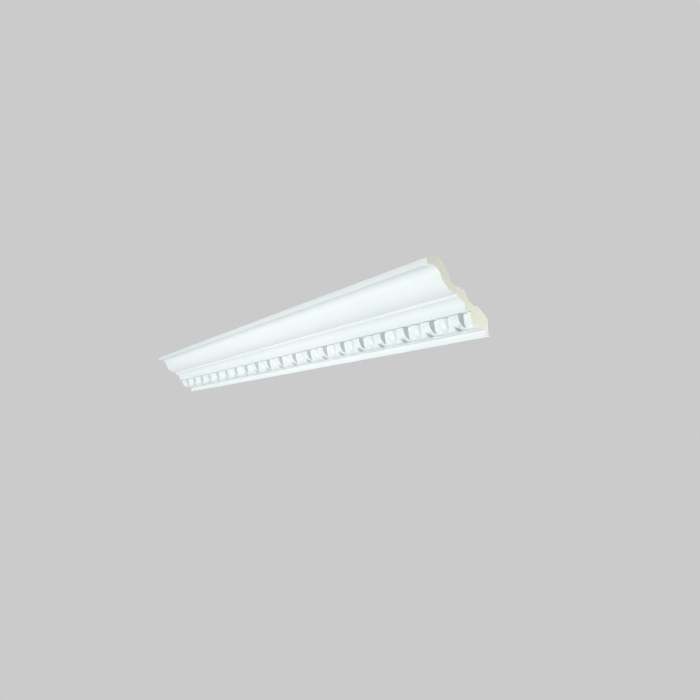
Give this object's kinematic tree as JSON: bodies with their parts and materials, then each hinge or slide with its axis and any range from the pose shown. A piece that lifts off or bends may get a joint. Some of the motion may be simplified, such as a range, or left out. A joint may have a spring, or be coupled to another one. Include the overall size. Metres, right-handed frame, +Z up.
{
  "type": "egg-and-dart cornice moulding length",
  "caption": "Straight length of cornice with a big S-curve, a hollow member and an egg-and-dart band, hollow behind, square ends.",
  "frame": {"origin": "on the wall face, half way along the piece, in the middle of the strip that is glued to the wall", "axes": "+X along the piece, +Y into the wall, +Z up to the ceiling; the room side is -Y"},
  "size_m": [1.16, 0.091, 0.1],
  "materials": {
    "primed_foam": "white primer with a soft sheen on moulded rigid foam, bare cream foam on the cut ends and the back"
  },
  "bodies": {
    "root": {"cornice": "primed_foam"}
  },
  "joints": []
}
